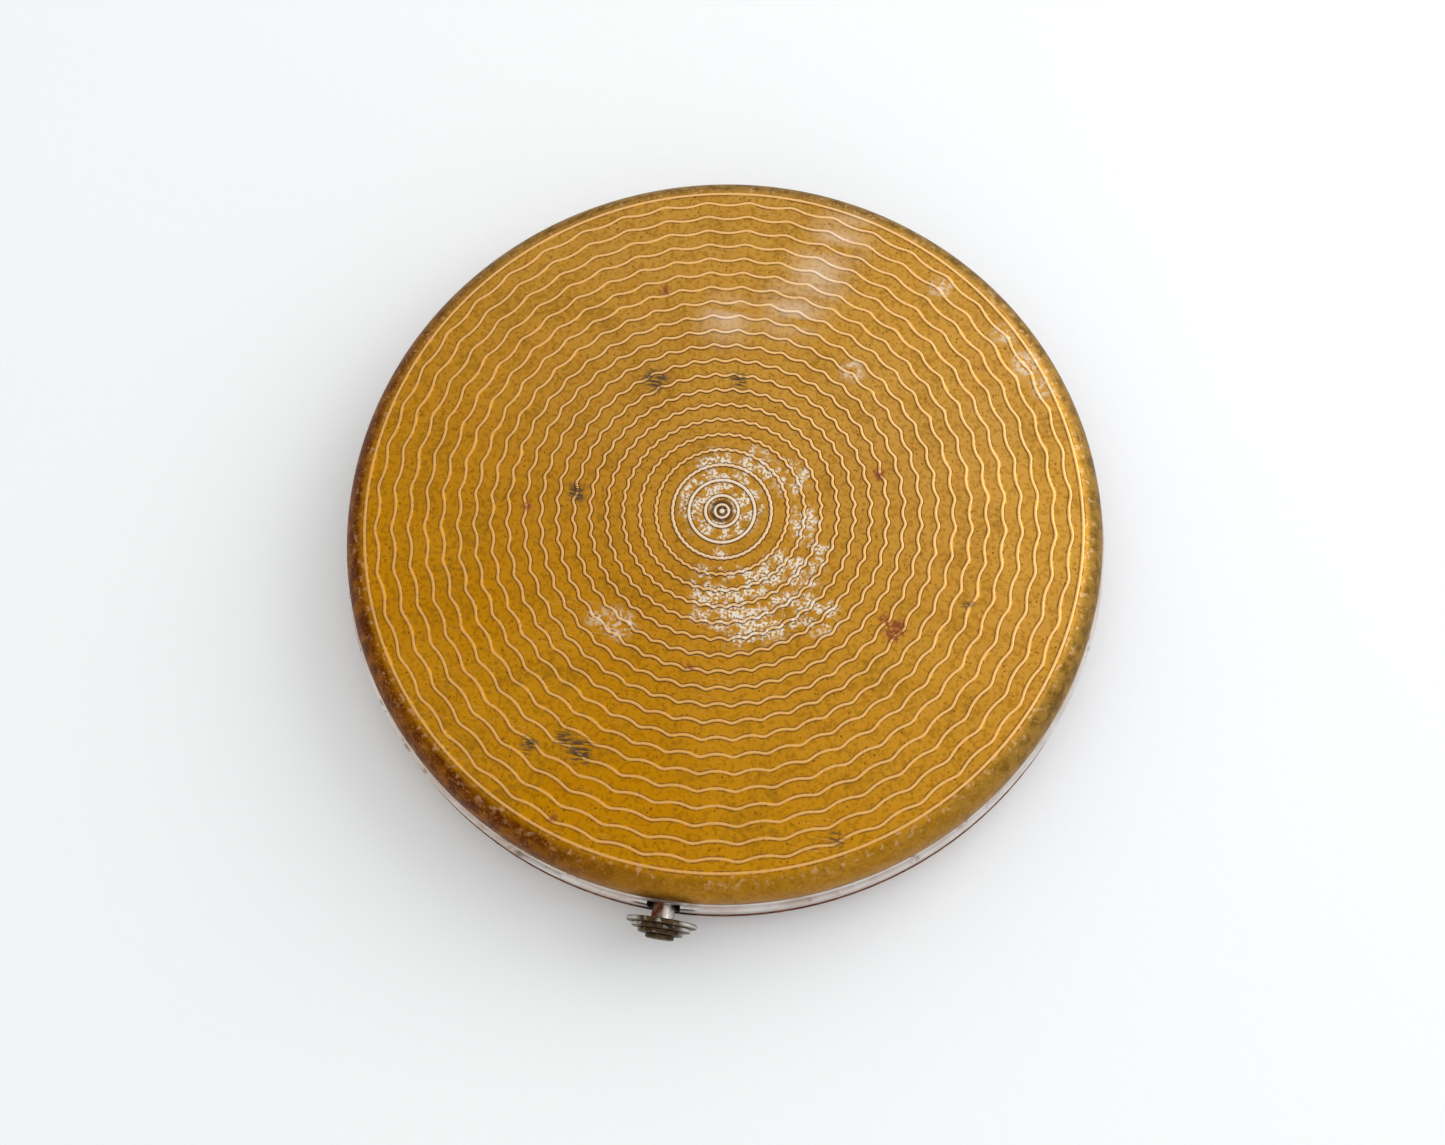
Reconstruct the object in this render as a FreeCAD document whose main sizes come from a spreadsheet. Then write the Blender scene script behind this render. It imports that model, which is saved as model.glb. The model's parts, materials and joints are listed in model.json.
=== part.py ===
import FreeCAD, Part
import os
import re
import Sketcher
from FreeCAD import Placement, Rotation, Vector

# Round powder compact, millimetres.
# Origin: centre of the flat underside. +Z up, push button at -Y, hinge at +Y.

SIZES = [
    # outside of the case
    ("caseRadius", 35.0, "outer radius of the pan"),
    ("lidSetback", 0.45, "lid ring in from the pan"),
    ("panWall", 0.55, "height of the bottom pan's upright wall"),
    ("collarHeight", 2.4, "height of the silver band above the pan"),
    ("seamGap", 0.1, "gap between the band and the lid ring"),
    ("lidRingHeight", 1.2, "height of the lid ring"),
    ("shoulderHeight", 3.1, "height of the lid cover's rounded shoulder"),
    ("shoulderWidth", 2.2, "width of the lid cover's rounded shoulder"),
    ("coverSetback", 0.15, "lid cover's edge in from the lid ring"),
    ("collarSetback", 0.1, "silver band in from the pan"),
    ("panCorner", 3.0, "radius of the bottom pan's lower corner"),
    ("edgeBreak", 0.12, "broken edge on the turned rings"),
    # sheets and walls
    ("coverSheet", 0.4, "lid cover sheet"),
    ("panSheet", 0.45, "bottom pan sheet"),
    ("lidRingWall", 0.3, "lid ring wall"),
    ("ledgeSheet", 0.3, "ledge inside the lid ring"),
    ("ledgeReach", 0.9, "ledge width inside the lid ring's wall"),
    ("neckWall", 0.4, "wall of the neck that the lid closes over"),
    ("neckGap", 0.2, "neck in from the lid ring"),
    ("neckRise", 0.75, "neck above the silver band"),
    ("spigotEase", 0.05, "silver band's spigot above the pan's round corner"),
    # mirror in the lid
    ("mirrorMargin", 2.2, "mirror's edge in from the cover's inner wall"),
    ("mirrorSheet", 1.5, "mirror thickness"),
    ("mirrorBevel", 0.3, "ground edge of the mirror"),
    ("cardSheet", 0.4, "card behind the mirror"),
    ("bezelWall", 0.3, "bezel sheet"),
    ("bezelGap", 0.1, "bezel clearance round the mirror"),
    ("bezelLip", 2.0, "bezel lip over the mirror's edge"),
    ("bezelEase", 0.15, "card and bezel wall short of the cover"),
    ("bezelWallRise", 1.35, "bezel wall up beside the mirror"),
    # hinge
    ("hingeInset", 0.65, "hinge axis in from the case radius"),
    ("hingeLength", 9.0, "length over all knuckles"),
    ("knuckleCount", 5, "knuckles, base and lid in turn"),
    ("knuckleRadius", 0.6, "knuckle radius"),
    ("knuckleGap", 0.1, "gap between knuckles"),
    ("pinRadius", 0.3, "hinge pin radius"),
    ("pinFit", 0.04, "radial running clearance on the pin"),
    ("hingeRelief", 0.2, "clearance of the rims round the knuckles"),
    ("leafSheet", 0.4, "hinge leaf sheet"),
    ("leafDepth", 1.9, "hinge leaf down inside the base"),
    ("lidLeafDepth", 1.2, "lid's hinge leaf in from the ledge"),
    # powder well, deck, sifter and puff
    ("deckWidth", 7.9, "width of the flat ring between the powder well and the neck"),
    ("wellSheet", 0.35, "powder well sheet"),
    ("deckTop", 4.3, "height of the deck's upper face"),
    ("deckSheet", 0.4, "deck sheet"),
    ("powderDrop", 0.8, "powder surface below the deck"),
    ("sifterGap", 0.05, "sifter clearance in the well"),
    ("sifterWall", 0.4, "sifter ring wall"),
    ("sifterDepth", 0.6, "sifter ring below the deck"),
    ("sifterFlange", 1.2, "sifter flange past the sifter wall"),
    ("sifterFlangeSheet", 0.3, "sifter flange sheet"),
    ("gauzeSheet", 0.1, "gauze thickness"),
    ("puffGap", 0.8, "puff in from the sifter ring"),
    ("puffEase", 0.75, "ribbon below the mirror when the lid is shut"),
    ("puffCorner", 1.1, "rounded edge of the puff"),
    ("ribbonWidth", 10.5, "ribbon width"),
    ("ribbonSheet", 0.25, "ribbon thickness"),
    # push button, catch and latch
    ("buttonTravel", 0.7, "push button travel"),
    ("buttonRest", 0.16, "button's back face short of the rims when pushed"),
    ("tierRadiusA", 3.1, "largest tier of the head"),
    ("tierRadiusB", 2.6, "second tier"),
    ("tierRadiusC", 2.0, "third tier"),
    ("tierRadiusD", 1.25, "smallest tier"),
    ("tierLength", 0.4, "length of each tier"),
    ("stemRadius", 1.0, "stem radius"),
    ("tailRadius", 0.7, "thin inner end of the stem"),
    ("tailFit", 0.04, "radial running clearance of the tail in its guide"),
    ("slotEase", 0.1, "clearance above and below the stem in the band"),
    ("slotSpread", 0.35, "half distance between the slot's two end arcs"),
    ("slotBite", 0.1, "slot's open mouth into the neck"),
    ("catchSetback", 0.5, "catch in from the neck"),
    ("catchSheet", 0.4, "catch sheet"),
    ("catchHalfWidth", 2.6, "half width over the catch's legs"),
    ("legEase", 0.35, "legs clear of the stem"),
    ("hookHeight", 0.4, "height of the hooks on the legs"),
    ("latchEase", 0.1, "clearance between latch ears and hooks"),
    ("latchSheet", 0.5, "latch plate"),
    ("latchHalfWidth", 3.0, "half width of the latch plate"),
    ("latchHalfHeight", 1.0, "half height of the latch plate"),
    ("earReach", 0.3, "latch ears out from the plate"),
    ("washerRadius", 1.1, "swaged washer behind the latch plate"),
    ("washerSheet", 0.3, "swaged washer thickness"),
    ("springLength", 2.0, "return spring between washer and guide"),
    ("springEase", 0.15, "return spring clear of the tail"),
    ("wireRadius", 0.12, "return spring wire radius"),
    ("springTurns", 4, "turns of the return spring"),
    ("guideSheet", 0.5, "guide bracket sheet"),
    ("guideHalfWidth", 2.2, "half width of the guide bracket"),
    ("guideFoot", 2.0, "foot of the guide bracket along the floor"),
    ("tailEnd", 0.2, "tail past the guide bracket"),
    ("slotHalfWidth", 4.6, "half width of the deck's front slot"),
    ("slotMargin", 0.4, "deck's front slot past the pushed tail"),
    # thumb notch
    ("thumbAzimuth", -109.0, "thumb notch direction, degrees from +X"),
    ("thumbWidth", 4.3, "thumb notch width"),
    ("thumbHeight", 1.45, "thumb notch height below the seam"),
    ("thumbBite", 0.1, "thumb notch into the neck"),
    ("thumbRise", 0.35, "thumb notch up the neck, above the band"),
    # cutting tools
    ("toolOver", 1.0, "cutting tools past the faces that they cut"),
]

doc = FreeCAD.newDocument("compact")
sheet = doc.addObject("Spreadsheet::Sheet", "sizes")
for row, (alias, size, note) in enumerate(SIZES, 1):
    sheet.set(f"A{row}", note)
    sheet.set(f"B{row}", str(size))
    sheet.setAlias(f"B{row}", alias)
doc.recompute()
ALIASES = {alias for alias, size, note in SIZES}


def bound(expression):
    """Write an expression on the named sizes so that any object can hold it."""
    return re.sub(r"[A-Za-z]\w*", lambda word: prefix(word.group(0)), str(expression))


def prefix(word):
    return "sizes." + word if word in ALIASES else word


def value(expression):
    return float(sheet.evalExpression(bound(expression)))


def bind(item, settings):
    for name, expression in settings.items():
        item.setExpression(name, bound(expression))


# ---- heights and radii that several pieces share, worked out from the sizes

panTop = "(panCorner + panWall)"
collarTop = f"({panTop} + collarHeight)"
ringBottom = f"({collarTop} + seamGap)"
ringTop = f"({ringBottom} + lidRingHeight)"
lidTop = f"({ringTop} + shoulderHeight)"
lidRingRadius = "(caseRadius - lidSetback)"
ringInner = f"({lidRingRadius} - lidRingWall)"
ledgeInner = f"({ringInner} - ledgeReach)"
ledgeBottom = f"({ringTop} - ledgeSheet)"
coverRadius = f"({lidRingRadius} - coverSetback)"
coverInner = f"({coverRadius} - coverSheet)"
shoulderArc = "((shoulderWidth^2 + shoulderHeight^2) / (2 * shoulderWidth))"
shoulderInnerRadius = f"({coverRadius} - {shoulderArc} + sqrt(({shoulderArc} - coverSheet)^2" \
    " - (shoulderHeight - coverSheet)^2))"

neckOuter = f"({ringInner} - neckGap)"
neckInner = f"({neckOuter} - neckWall)"
neckTop = f"({collarTop} + neckRise)"
collarRadius = "(caseRadius - collarSetback)"
panInner = "(caseRadius - panSheet)"
spigotBottom = "(panCorner + spigotEase)"

mirrorRadius = f"({coverInner} - mirrorMargin)"
cardTop = f"({lidTop} - coverSheet)"
mirrorTop = f"({cardTop} - cardSheet)"
mirrorBottom = f"({mirrorTop} - mirrorSheet)"
bezelInner = f"({mirrorRadius} + bezelGap)"
bezelOuter = f"({bezelInner} + bezelWall)"
bezelFlange = f"({coverInner} - bezelGap)"

hingeY = "(caseRadius - hingeInset)"
hingeZ = f"({collarTop} + seamGap / 2)"
knucklePitch = "(hingeLength / knuckleCount)"
rimNotchHalf = "(hingeLength / 2 + hingeRelief)"
baseNotchBottom = f"({hingeZ} - knuckleRadius - hingeRelief)"
lidNotchTop = f"({hingeZ} + knuckleRadius + hingeRelief)"

deckBottom = "(deckTop - deckSheet)"
wellRadius = f"({neckInner} - deckWidth)"
wellInner = f"({wellRadius} - wellSheet)"
sifterOuter = f"({wellInner} - sifterGap)"
sifterInner = f"({sifterOuter} - sifterWall)"
gauzeBottom = "(deckTop - sifterDepth / 2 - gauzeSheet / 2)"
puffRadius = f"({sifterInner} - puffGap)"
puffBottom = f"({gauzeBottom} + gauzeSheet)"
puffTop = f"({mirrorBottom} - puffEase - ribbonSheet)"

buttonZ = f"({panTop} + collarHeight / 2)"
legFront = f"(-({neckInner} - catchSetback))"
hookFront = f"({legFront} + catchSheet)"
hookBack = f"({hookFront} + catchSheet)"
earFront = f"({hookBack} + latchEase)"
plateFront = f"({earFront} + earReach)"
plateBack = f"({plateFront} + latchSheet)"
washerBack = f"({plateBack} + washerSheet)"
guideFront = f"({washerBack} + springLength)"
guideBack = f"({guideFront} + guideSheet)"
tailBack = f"({guideBack} + tailEnd)"


# ---- makers

def make_box(name, across, along, up):
    """A box from its low and high limit along X, Y and Z."""
    box = doc.addObject("Part::Box", name)
    bind(box, {
        "Length": f"({across[1]}) - ({across[0]})",
        "Width": f"({along[1]}) - ({along[0]})",
        "Height": f"({up[1]}) - ({up[0]})",
        "Placement.Base.x": across[0],
        "Placement.Base.y": along[0],
        "Placement.Base.z": up[0],
    })
    return box


def make_disc(name, radius, low, high):
    """An upright cylinder on the case's axis."""
    disc = doc.addObject("Part::Cylinder", name)
    bind(disc, {"Radius": radius, "Height": f"({high}) - ({low})", "Placement.Base.z": low})
    return disc


def make_rod(name, axis, radius, span, side, height):
    """A lying cylinder along X or Y: its span on that axis, then its place on the other two."""
    rod = doc.addObject("Part::Cylinder", name)
    turn = Rotation(Vector(0, 1, 0), 90) if axis == "x" else Rotation(Vector(1, 0, 0), -90)
    rod.Placement = Placement(Vector(), turn)
    other = "y" if axis == "x" else "x"
    bind(rod, {
        "Radius": radius,
        "Height": f"({span[1]}) - ({span[0]})",
        f"Placement.Base.{axis}": span[0],
        f"Placement.Base.{other}": side,
        "Placement.Base.z": height,
    })
    return rod


def make_fuse(name, pieces):
    fuse = doc.addObject("Part::MultiFuse", name)
    fuse.Shapes = pieces
    return fuse


def make_cut(name, piece, tools):
    cut = doc.addObject("Part::Cut", name)
    cut.Base = piece
    cut.Tool = tools[0] if len(tools) == 1 else make_fuse(name + "_tools", tools)
    return cut


def make_common(name, first, second):
    common = doc.addObject("Part::Common", name)
    common.Base = first
    common.Tool = second
    return common


def edge_of(start, end, arc):
    """A line, or an arc given by its centre and whether it runs anticlockwise."""
    if arc is None:
        return Part.LineSegment(start, end), 1, 2
    centre = Vector(value(arc["centre"][0]), value(arc["centre"][1]), 0)
    circle = Part.Circle(centre, Vector(0, 0, 1), (start - centre).Length)
    first, last = (start, end) if arc["ccw"] else (end, start)
    curve = Part.ArcOfCircle(circle, circle.parameter(first), circle.parameter(last))
    return curve, (1 if arc["ccw"] else 2), (2 if arc["ccw"] else 1)


def pin_corner(sketch, index, geometry, position, corner):
    """Tie one corner of an outline to its radius and height."""
    across, up = corner
    if across == "0" and up == "0":
        sketch.addConstraint(Sketcher.Constraint("Coincident", geometry, position, -1, 1))
        return
    for kind, expression, axis, label in (("DistanceX", across, -2, "radius"),
                                          ("DistanceY", up, -1, "height")):
        if expression == "0":
            sketch.addConstraint(Sketcher.Constraint("PointOnObject", geometry, position, axis))
            continue
        limit = Sketcher.Constraint(kind, -1, 1, geometry, position, value(expression))
        number = sketch.addConstraint(limit)
        sketch.renameConstraint(number, f"{label}{index}")
        sketch.setExpression(f"Constraints.{label}{index}", bound(expression))


def make_turned(name, outline, arcs=None):
    """A body turned about Z. The outline is a list of (radius, height) corners;
    arcs says which of its edges, by number, is round."""
    arcs = arcs or {}
    body = doc.addObject("PartDesign::Body", name)
    sketch = body.newObject("Sketcher::SketchObject", name + "_outline")
    plane = next(item for item in body.Origin.OriginFeatures if item.Role == "XZ_Plane")
    sketch.AttachmentSupport = [(plane, "")]
    sketch.MapMode = "FlatFace"
    corners = [Vector(value(across), value(up), 0) for across, up in outline]
    starts, ends = [], []
    for index, corner in enumerate(corners):
        following = corners[(index + 1) % len(corners)]
        curve, start, end = edge_of(corner, following, arcs.get(index))
        geometry = sketch.addGeometry(curve, False)
        starts.append((geometry, start))
        ends.append((geometry, end))
    for index, (geometry, end) in enumerate(ends):
        following, start = starts[(index + 1) % len(starts)]
        sketch.addConstraint(Sketcher.Constraint("Coincident", geometry, end, following, start))
    for index, (geometry, start) in enumerate(starts):
        pin_corner(sketch, index, geometry, start, outline[index])
        if index in arcs:
            radius = value(arcs[index]["radius"])
            number = sketch.addConstraint(Sketcher.Constraint("Radius", geometry, radius))
            sketch.renameConstraint(number, f"arc{index}")
            sketch.setExpression(f"Constraints.arc{index}", bound(arcs[index]["radius"]))
    turned = body.newObject("PartDesign::Revolution", name + "_turned")
    turned.Profile = sketch
    turned.ReferenceAxis = (sketch, ["V_Axis"])
    turned.Angle = 360
    return body


def label(item, name):
    item.Label = name
    return item


def arc(radius, centre, ccw):
    return {"radius": radius, "centre": centre, "ccw": ccw}


# ---- lid

def make_lid_cover():
    """Stamped cover: flat top, rounded shoulder, open below."""
    centre = (f"{coverRadius} - {shoulderArc}", ringTop)
    outline = [
        ("0", lidTop),
        ("0", cardTop),
        (shoulderInnerRadius, cardTop),
        (coverInner, ringTop),
        (coverRadius, ringTop),
        (f"{coverRadius} - shoulderWidth", lidTop),
    ]
    arcs = {2: arc(f"{shoulderArc} - coverSheet", centre, False), 4: arc(shoulderArc, centre, True)}
    return make_turned("cover", outline, arcs)


def make_hinge_notch(name, low, high):
    """The opening in a rim that the knuckles sit in."""
    return make_box(name, (f"-{rimNotchHalf}", rimNotchHalf),
                    (f"{neckInner} - 2 * toolOver", "caseRadius + toolOver"), (low, high))


def make_lid_frame():
    """Silver ring with a ledge inside, notched behind for the knuckles."""
    outline = [
        (ringInner, ringBottom),
        (f"{lidRingRadius} - edgeBreak", ringBottom),
        (lidRingRadius, f"{ringBottom} + edgeBreak"),
        (lidRingRadius, f"{ringTop} - edgeBreak"),
        (f"{lidRingRadius} - edgeBreak", ringTop),
        (ledgeInner, ringTop),
        (ledgeInner, ledgeBottom),
        (ringInner, ledgeBottom),
    ]
    ring = make_turned("lid_ring", outline)
    notch = make_hinge_notch("lid_ring_notch", f"{ringBottom} - toolOver", lidNotchTop)
    return make_cut("lid_ring_notched", ring, [notch])


def make_mirror():
    outline = [
        ("0", mirrorBottom),
        (f"{mirrorRadius} - mirrorBevel", mirrorBottom),
        (mirrorRadius, f"{mirrorBottom} + mirrorBevel"),
        (mirrorRadius, mirrorTop),
        ("0", mirrorTop),
    ]
    return make_turned("mirror", outline)


def make_bezel():
    """Ring that holds the mirror: a lip under its edge, a wall round it, a flange on the ledge."""
    lip = f"{mirrorBottom} - bezelWall"
    outline = [
        (f"{mirrorRadius} - bezelLip", lip),
        (bezelInner, lip),
        (bezelInner, ringTop),
        (bezelFlange, ringTop),
        (bezelFlange, f"{ringTop} + bezelWall"),
        (bezelOuter, f"{ringTop} + bezelWall"),
        (bezelOuter, f"{mirrorBottom} + bezelWallRise"),
        (bezelInner, f"{mirrorBottom} + bezelWallRise"),
        (bezelInner, mirrorBottom),
        (f"{mirrorRadius} - bezelLip", mirrorBottom),
    ]
    return make_turned("bezel", outline)


def knuckle_span(index):
    """Where knuckle number index lies along the hinge, shortened by half a gap each end."""
    low = f"{knucklePitch} * {index} - hingeLength / 2 + knuckleGap / 2"
    high = f"{knucklePitch} * {index + 1} - hingeLength / 2 - knuckleGap / 2"
    return low, high


def make_knuckles(name, numbers, tab_along, tab_up, leaf, bore_radius):
    """A hinge leaf with its knuckles: barrel and tab at each number, one bore through all."""
    pieces = [leaf]
    for index in numbers:
        span = knuckle_span(index)
        pieces.append(make_rod(f"{name}_barrel{index}", "x", "knuckleRadius", span, hingeY, hingeZ))
        pieces.append(make_box(f"{name}_tab{index}", span, tab_along, tab_up))
    bore_span = ("-hingeLength / 2 - toolOver", "hingeLength / 2 + toolOver")
    bore = make_rod(name + "_bore", "x", bore_radius, bore_span, hingeY, hingeZ)
    return make_cut(name + "_bored", make_fuse(name + "_solid", pieces), [bore])


def make_lid_leaf(numbers):
    """Leaf under the bezel's flange, inside the ledge, with tabs out to the lid's knuckles."""
    outer = ledgeInner
    inner = f"{ledgeInner} - lidLeafDepth"
    low = f"{hingeZ} + knuckleRadius - leafSheet"
    half = "(hingeLength / 2 - knuckleGap)"
    ring = make_turned("lid_leaf_ring",
                       [(inner, low), (outer, low), (outer, ringTop), (inner, ringTop)])
    block = make_box("lid_leaf_block", (f"-{half}", half), ("caseRadius / 2", "caseRadius"),
                     (low, ringTop))
    leaf = make_common("lid_leaf_sector", ring, block)
    tab_along = (f"{ledgeInner} - leafSheet", hingeY)
    return make_knuckles("lid_leaf", numbers, tab_along, (low, f"{low} + leafSheet"), leaf,
                         "pinRadius + pinFit")


def make_lid_catch():
    """Two-legged catch: a foot under the bezel's flange, a leg each side of the stem,
    a hook at the end of each leg."""
    foot = make_box("catch_foot", ("-catchHalfWidth", "catchHalfWidth"),
                    (legFront, f"{hookBack} + catchSheet"), (ledgeBottom, ringTop))
    pieces = [foot]
    hook_top = buttonZ
    hook_low = f"{buttonZ} - hookHeight"
    inner = "stemRadius + legEase"
    for side, across in (("left", ("-catchHalfWidth", f"-({inner})")),
                         ("right", (inner, "catchHalfWidth"))):
        pieces.append(make_box(f"catch_leg_{side}", across, (legFront, hookFront),
                               (hook_low, ledgeBottom)))
        pieces.append(make_box(f"catch_hook_{side}", across, (hookFront, hookBack),
                               (hook_low, hook_top)))
    return make_fuse("catch", pieces)


# ---- base

def make_base_pan():
    """Bottom pan: flat floor, round corner, short upright wall."""
    centre = ("caseRadius - panCorner", "panCorner")
    outline = [
        ("0", "0"),
        ("caseRadius - panCorner", "0"),
        ("caseRadius", "panCorner"),
        ("caseRadius", f"{panTop} - edgeBreak"),
        ("caseRadius - edgeBreak", panTop),
        (panInner, panTop),
        (panInner, "panCorner"),
        ("caseRadius - panCorner", "panSheet"),
        ("0", "panSheet"),
    ]
    arcs = {1: arc("panCorner", centre, True), 6: arc("panCorner - panSheet", centre, False)}
    return make_turned("pan", outline, arcs)


def make_button_slot():
    """Round-ended slot for the stem, through the silver band and the neck, open to the band's top."""
    radius = "stemRadius + slotEase"
    along = ("-(caseRadius + toolOver)", f"-({neckInner} - toolOver)")
    ends = [make_rod(f"button_slot_{side}", "y", radius, along, f"{sign}slotSpread", buttonZ)
            for side, sign in (("left", "-"), ("right", ""))]
    middle = make_box("button_slot_middle", ("-slotSpread", "slotSpread"), along,
                      (f"{buttonZ} - ({radius})", f"{buttonZ} + {radius}"))
    half = f"({radius} + slotSpread)"
    mouth = make_box("button_slot_mouth", (f"-{half}", half),
                     ("-(caseRadius + toolOver)", f"-({neckOuter} - slotBite)"),
                     (buttonZ, f"{collarTop} + toolOver"))
    return ends + [middle, mouth]


def make_thumb_notch():
    """Fingernail notch in the band's upper edge, just beside the button."""
    notch = doc.addObject("Part::Box", "thumb_notch")
    notch.Placement = Placement(Vector(), Rotation(Vector(0, 0, 1), value("thumbAzimuth")))
    start = f"({neckOuter} - thumbBite)"
    bind(notch, {
        "Length": f"caseRadius + toolOver - {start}",
        "Width": "thumbWidth",
        "Height": "thumbHeight + thumbRise",
        "Placement.Base.x": f"{start} * cos(thumbAzimuth) + thumbWidth / 2 * sin(thumbAzimuth)",
        "Placement.Base.y": f"{start} * sin(thumbAzimuth) - thumbWidth / 2 * cos(thumbAzimuth)",
        "Placement.Base.z": f"{collarTop} - thumbHeight",
        "Placement.Rotation.Angle": "thumbAzimuth",
    })
    return notch


def make_base_collar():
    """Silver band with its neck above and its spigot in the pan."""
    outline = [
        (neckInner, spigotBottom),
        (panInner, spigotBottom),
        (panInner, panTop),
        (f"{collarRadius} - edgeBreak", panTop),
        (collarRadius, f"{panTop} + edgeBreak"),
        (collarRadius, f"{collarTop} - edgeBreak"),
        (f"{collarRadius} - edgeBreak", collarTop),
        (neckOuter, collarTop),
        (neckOuter, f"{neckTop} - edgeBreak"),
        (f"{neckOuter} - edgeBreak", neckTop),
        (neckInner, neckTop),
    ]
    ring = make_turned("collar", outline)
    notch = make_hinge_notch("collar_hinge_notch", baseNotchBottom, f"{neckTop} + toolOver")
    return make_cut("collar_cut", ring, [notch, make_thumb_notch()] + make_button_slot())


def make_base_leaf(numbers):
    """Leaf against the inside of the neck, with tabs out to the base's knuckles."""
    top = baseNotchBottom
    low = f"{top} - leafDepth"
    half = "(hingeLength / 2 - knuckleGap)"
    inner = f"{neckInner} - leafSheet"
    ring = make_turned("base_leaf_ring",
                       [(inner, low), (neckInner, low), (neckInner, top), (inner, top)])
    block = make_box("base_leaf_block", (f"-{half}", half), ("caseRadius / 2", "caseRadius"),
                     (low, top))
    leaf = make_common("base_leaf_sector", ring, block)
    tab_along = (f"{neckInner} - 2 * leafSheet", hingeY)
    tab_up = (top, f"{hingeZ} - knuckleRadius + leafSheet")
    return make_knuckles("base_leaf", numbers, tab_along, tab_up, leaf, "pinRadius")


def make_well():
    """Powder well: a shallow cup standing on the pan's floor."""
    outline = [
        ("0", "panSheet"),
        (wellRadius, "panSheet"),
        (wellRadius, "deckTop"),
        (wellInner, "deckTop"),
        (wellInner, "panSheet + wellSheet"),
        ("0", "panSheet + wellSheet"),
    ]
    return make_turned("well", outline)


def make_latch_slot(name):
    """The room behind the button that the latch and the pushed tail need in the rings round the well."""
    return make_box(name, ("-slotHalfWidth", "slotHalfWidth"),
                    ("-caseRadius", f"{tailBack} + buttonTravel + slotMargin"),
                    (f"{deckBottom} - toolOver", "deckTop + toolOver"))


def make_deck():
    """Flat ring between well and neck, slotted in front for the latch, cut behind for the leaf."""
    outline = [
        (wellRadius, deckBottom),
        (neckInner, deckBottom),
        (neckInner, "deckTop"),
        (wellRadius, "deckTop"),
    ]
    ring = make_turned("deck", outline)
    front = make_latch_slot("deck_slot")
    rear = make_box("deck_rear_cut", (f"-{rimNotchHalf}", rimNotchHalf),
                    (f"sqrt(({neckInner} - leafSheet)^2 - {rimNotchHalf}^2) - hingeRelief / 2",
                     "caseRadius"),
                    (f"{deckBottom} - toolOver", "deckTop + toolOver"))
    return make_cut("deck_cut", ring, [front, rear])


def make_sifter_ring():
    """Ring that drops into the well: lip under the gauze, wall, flange over the deck.
    The latch slot takes a bite from the flange only where the deck is narrow."""
    lip = f"({sifterInner} - sifterWall)"
    low = "(deckTop - sifterDepth)"
    flange_top = "(deckTop + sifterFlangeSheet)"
    flange = f"({sifterOuter} + sifterFlange)"
    outline = [
        (lip, low),
        (sifterOuter, low),
        (sifterOuter, "deckTop"),
        (flange, "deckTop"),
        (flange, f"{flange_top} - edgeBreak"),
        (f"{flange} - edgeBreak", flange_top),
        (sifterInner, flange_top),
        (sifterInner, gauzeBottom),
        (lip, gauzeBottom),
    ]
    ring = make_turned("sifter", outline)
    return make_cut("sifter_cut", ring, [make_latch_slot("sifter_slot")])


def make_puff():
    """Soft pad with rounded edges."""
    low = f"({puffBottom} + puffCorner)"
    high = f"({puffTop} - puffCorner)"
    inner = f"({puffRadius} - puffCorner)"
    outline = [
        ("0", puffBottom),
        (inner, puffBottom),
        (puffRadius, low),
        (puffRadius, high),
        (inner, puffTop),
        ("0", puffTop),
    ]
    arcs = {1: arc("puffCorner", (inner, low), True), 3: arc("puffCorner", (inner, high), True)}
    return make_turned("puff", outline, arcs)


def make_ribbon():
    """Ribbon straight across the puff, its ends clipped to the puff's flat top."""
    disc = make_disc("ribbon_disc", f"{puffRadius} - puffCorner", puffTop, f"{puffTop} + ribbonSheet")
    strip = make_box("ribbon_strip", ("-caseRadius", "caseRadius"),
                     ("-ribbonWidth / 2", "ribbonWidth / 2"), (puffTop, f"{puffTop} + ribbonSheet"))
    return make_common("ribbon", disc, strip)


def make_guide():
    """Bracket on the pan's floor whose hole carries the stem's tail."""
    across = ("-guideHalfWidth", "guideHalfWidth")
    top = f"{buttonZ} + latchHalfHeight"
    upright = make_box("guide_upright", across, (guideFront, guideBack), ("panSheet", top))
    foot_end = f"{guideFront} - guideFoot"
    foot = make_box("guide_foot", across, (foot_end, guideBack), ("panSheet", "panSheet + guideSheet"))
    bore = make_rod("guide_bore", "y", "tailRadius + tailFit",
                    (f"{guideFront} - toolOver", f"{guideBack} + toolOver"), "0", buttonZ)
    return make_cut("guide", make_fuse("guide_solid", [upright, foot]), [bore])


def make_spring():
    """Coil spring round the tail, between washer and guide bracket."""
    wire = value("wireRadius")
    mean = value("tailRadius + springEase + wireRadius")
    length = value("springLength") - 2 * wire
    turns = value("springTurns")
    spine = Part.makeHelix(length / turns, length, mean)
    section = Part.Wire([Part.Circle(Vector(mean, 0, 0), Vector(0, 1, 0), wire).toShape()])
    coil = Part.Wire(spine.Edges).makePipeShell([section], True, True)
    spring = doc.addObject("Part::Feature", "spring")
    spring.Shape = coil
    start = Vector(0, value(washerBack) + wire, value(buttonZ))
    spring.Placement = Placement(start, Rotation(Vector(1, 0, 0), -90))
    return spring


# ---- push button

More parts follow.
